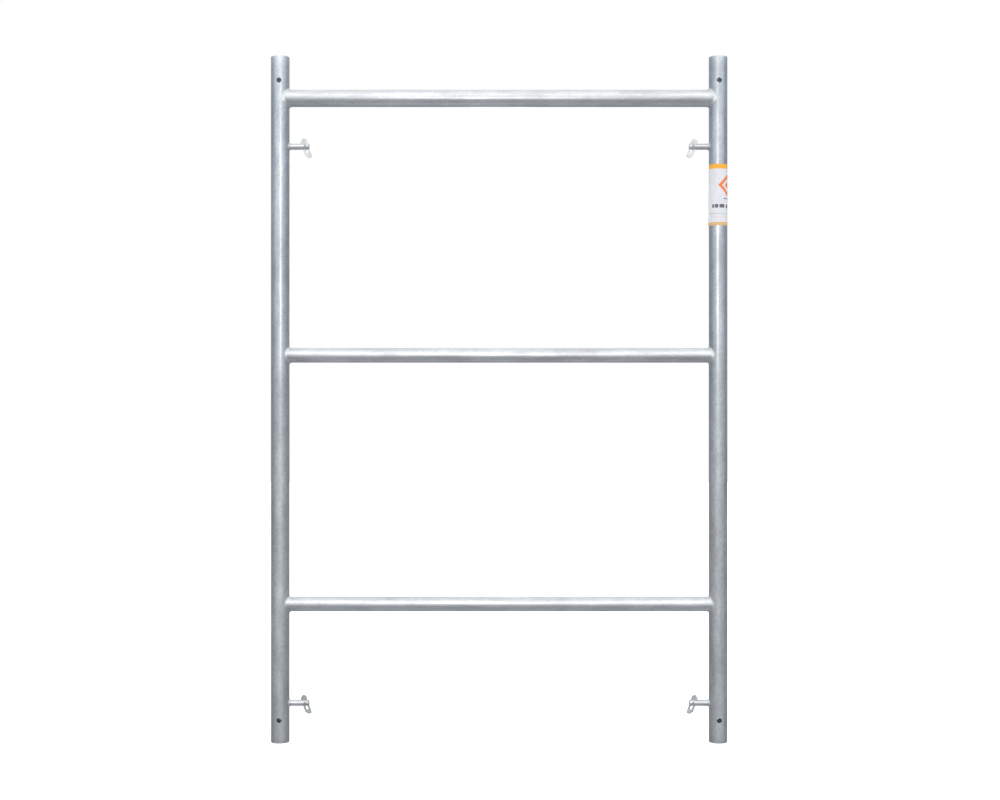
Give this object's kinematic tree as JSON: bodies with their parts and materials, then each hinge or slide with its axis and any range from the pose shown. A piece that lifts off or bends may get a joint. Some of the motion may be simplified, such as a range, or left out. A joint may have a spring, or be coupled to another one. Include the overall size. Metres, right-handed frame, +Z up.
{
  "type": "frame scaffold section",
  "caption": "Galvanised steel H-frame: two open tube legs, three welded rails, and brace studs with swinging gravity latches.",
  "frame": {"origin": "on the ground, midway between the two legs, in the plane of the frame", "axes": "+X to the right from leg to leg as seen from the front, +Y away from the viewer, +Z up along the legs"},
  "size_m": [1.2003, 0.0488, 1.8],
  "materials": {
    "leg_steel": "hot-dip galvanised, satin with a faint spangle",
    "rail_steel": "hot-dip galvanised, satin",
    "weld_steel": "galvanised weld bead, satin",
    "stud_steel": "galvanised, satin",
    "latch_steel": "zinc plated, dull",
    "rivet_steel": "dull, slightly browned",
    "label_film": "printed film, satin"
  },
  "bodies": {
    "frame": {"left_leg": "leg_steel", "right_leg": "leg_steel", "top_rail": "rail_steel", "middle_rail": "rail_steel", "bottom_rail": "rail_steel", "left_upper_stud": "stud_steel", "left_lower_stud": "stud_steel", "right_upper_stud": "stud_steel", "right_lower_stud": "stud_steel", "left_top_weld": "weld_steel", "left_middle_weld": "weld_steel", "left_bottom_weld": "weld_steel", "left_upper_stud_weld": "weld_steel", "left_lower_stud_weld": "weld_steel", "right_top_weld": "weld_steel", "right_middle_weld": "weld_steel", "right_bottom_weld": "weld_steel", "right_upper_stud_weld": "weld_steel", "right_lower_stud_weld": "weld_steel", "size_label": "label_film"},
    "left_upper_pivot": {"left_upper_rivet": "rivet_steel"},
    "left_upper_latch_plate": {"left_upper_latch": "latch_steel"},
    "left_lower_pivot": {"left_lower_rivet": "rivet_steel"},
    "left_lower_latch_plate": {"left_lower_latch": "latch_steel"},
    "right_upper_pivot": {"right_upper_rivet": "rivet_steel"},
    "right_upper_latch_plate": {"right_upper_latch": "latch_steel"},
    "right_lower_pivot": {"right_lower_rivet": "rivet_steel"},
    "right_lower_latch_plate": {"right_lower_latch": "latch_steel"}
  },
  "joints": [
    {"name": "left_upper_latch_swing", "type": "hinge", "parent": "frame", "child": "left_upper_pivot", "pos_m": [-0.5097, 0, 1.565], "axis": [0, -1, 0], "range_deg": [-109, 71]},
    {"name": "left_upper_latch_lift", "type": "slide", "parent": "left_upper_pivot", "child": "left_upper_latch_plate", "axis": [-0.3256, 0, 0.9455], "range_m": [0, 0.01]},
    {"name": "left_lower_latch_swing", "type": "hinge", "parent": "frame", "child": "left_lower_pivot", "pos_m": [-0.5097, 0, 0.102], "axis": [0, -1, 0], "range_deg": [-109, 71]},
    {"name": "left_lower_latch_lift", "type": "slide", "parent": "left_lower_pivot", "child": "left_lower_latch_plate", "axis": [-0.3256, 0, 0.9455], "range_m": [0, 0.01]},
    {"name": "right_upper_latch_swing", "type": "hinge", "parent": "frame", "child": "right_upper_pivot", "pos_m": [0.5097, 0, 1.565], "axis": [0, 1, 0], "range_deg": [-109, 71]},
    {"name": "right_upper_latch_lift", "type": "slide", "parent": "right_upper_pivot", "child": "right_upper_latch_plate", "axis": [0.3256, 0, 0.9455], "range_m": [0, 0.01]},
    {"name": "right_lower_latch_swing", "type": "hinge", "parent": "frame", "child": "right_lower_pivot", "pos_m": [0.5097, 0, 0.102], "axis": [0, 1, 0], "range_deg": [-109, 71]},
    {"name": "right_lower_latch_lift", "type": "slide", "parent": "right_lower_pivot", "child": "right_lower_latch_plate", "axis": [0.3256, 0, 0.9455], "range_m": [0, 0.01]}
  ]
}
